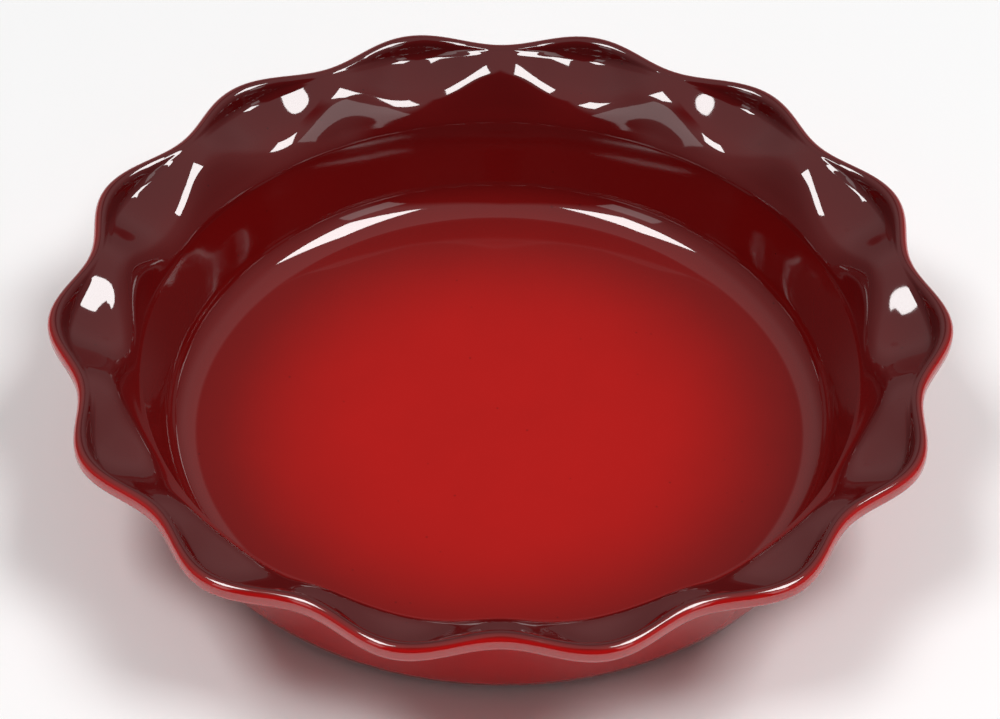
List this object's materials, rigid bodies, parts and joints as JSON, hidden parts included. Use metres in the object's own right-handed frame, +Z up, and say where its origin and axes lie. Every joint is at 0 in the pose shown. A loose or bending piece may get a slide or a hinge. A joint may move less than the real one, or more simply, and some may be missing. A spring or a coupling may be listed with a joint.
{
  "type": "pie dish",
  "caption": "Round glazed stoneware pie dish with a deep flared wall, a scooped and ridged fluted rim and a bare foot ring, for baking and serving pies.",
  "frame": {"origin": "centre of the foot ring, on the surface the dish stands on", "axes": "+Z up along the dish's axis, +X through the middle of one scoop of the rim, and Y through the middle of a ridge"},
  "size_m": [0.273, 0.2672, 0.052],
  "materials": {
    "stoneware": "bare fired clay, matt and finely grained, seen only on the foot ring",
    "inside_glaze": "high-gloss glaze, bright red in the middle of the floor, fading to a dark maroon on the wall and rim",
    "outside_glaze": "high-gloss red glaze",
    "base_glaze": "high-gloss red glaze on the underside"
  },
  "bodies": {
    "root": {"stoneware_body": "stoneware", "inside_glaze": "inside_glaze", "outside_glaze": "outside_glaze", "base_glaze": "base_glaze"}
  },
  "joints": []
}
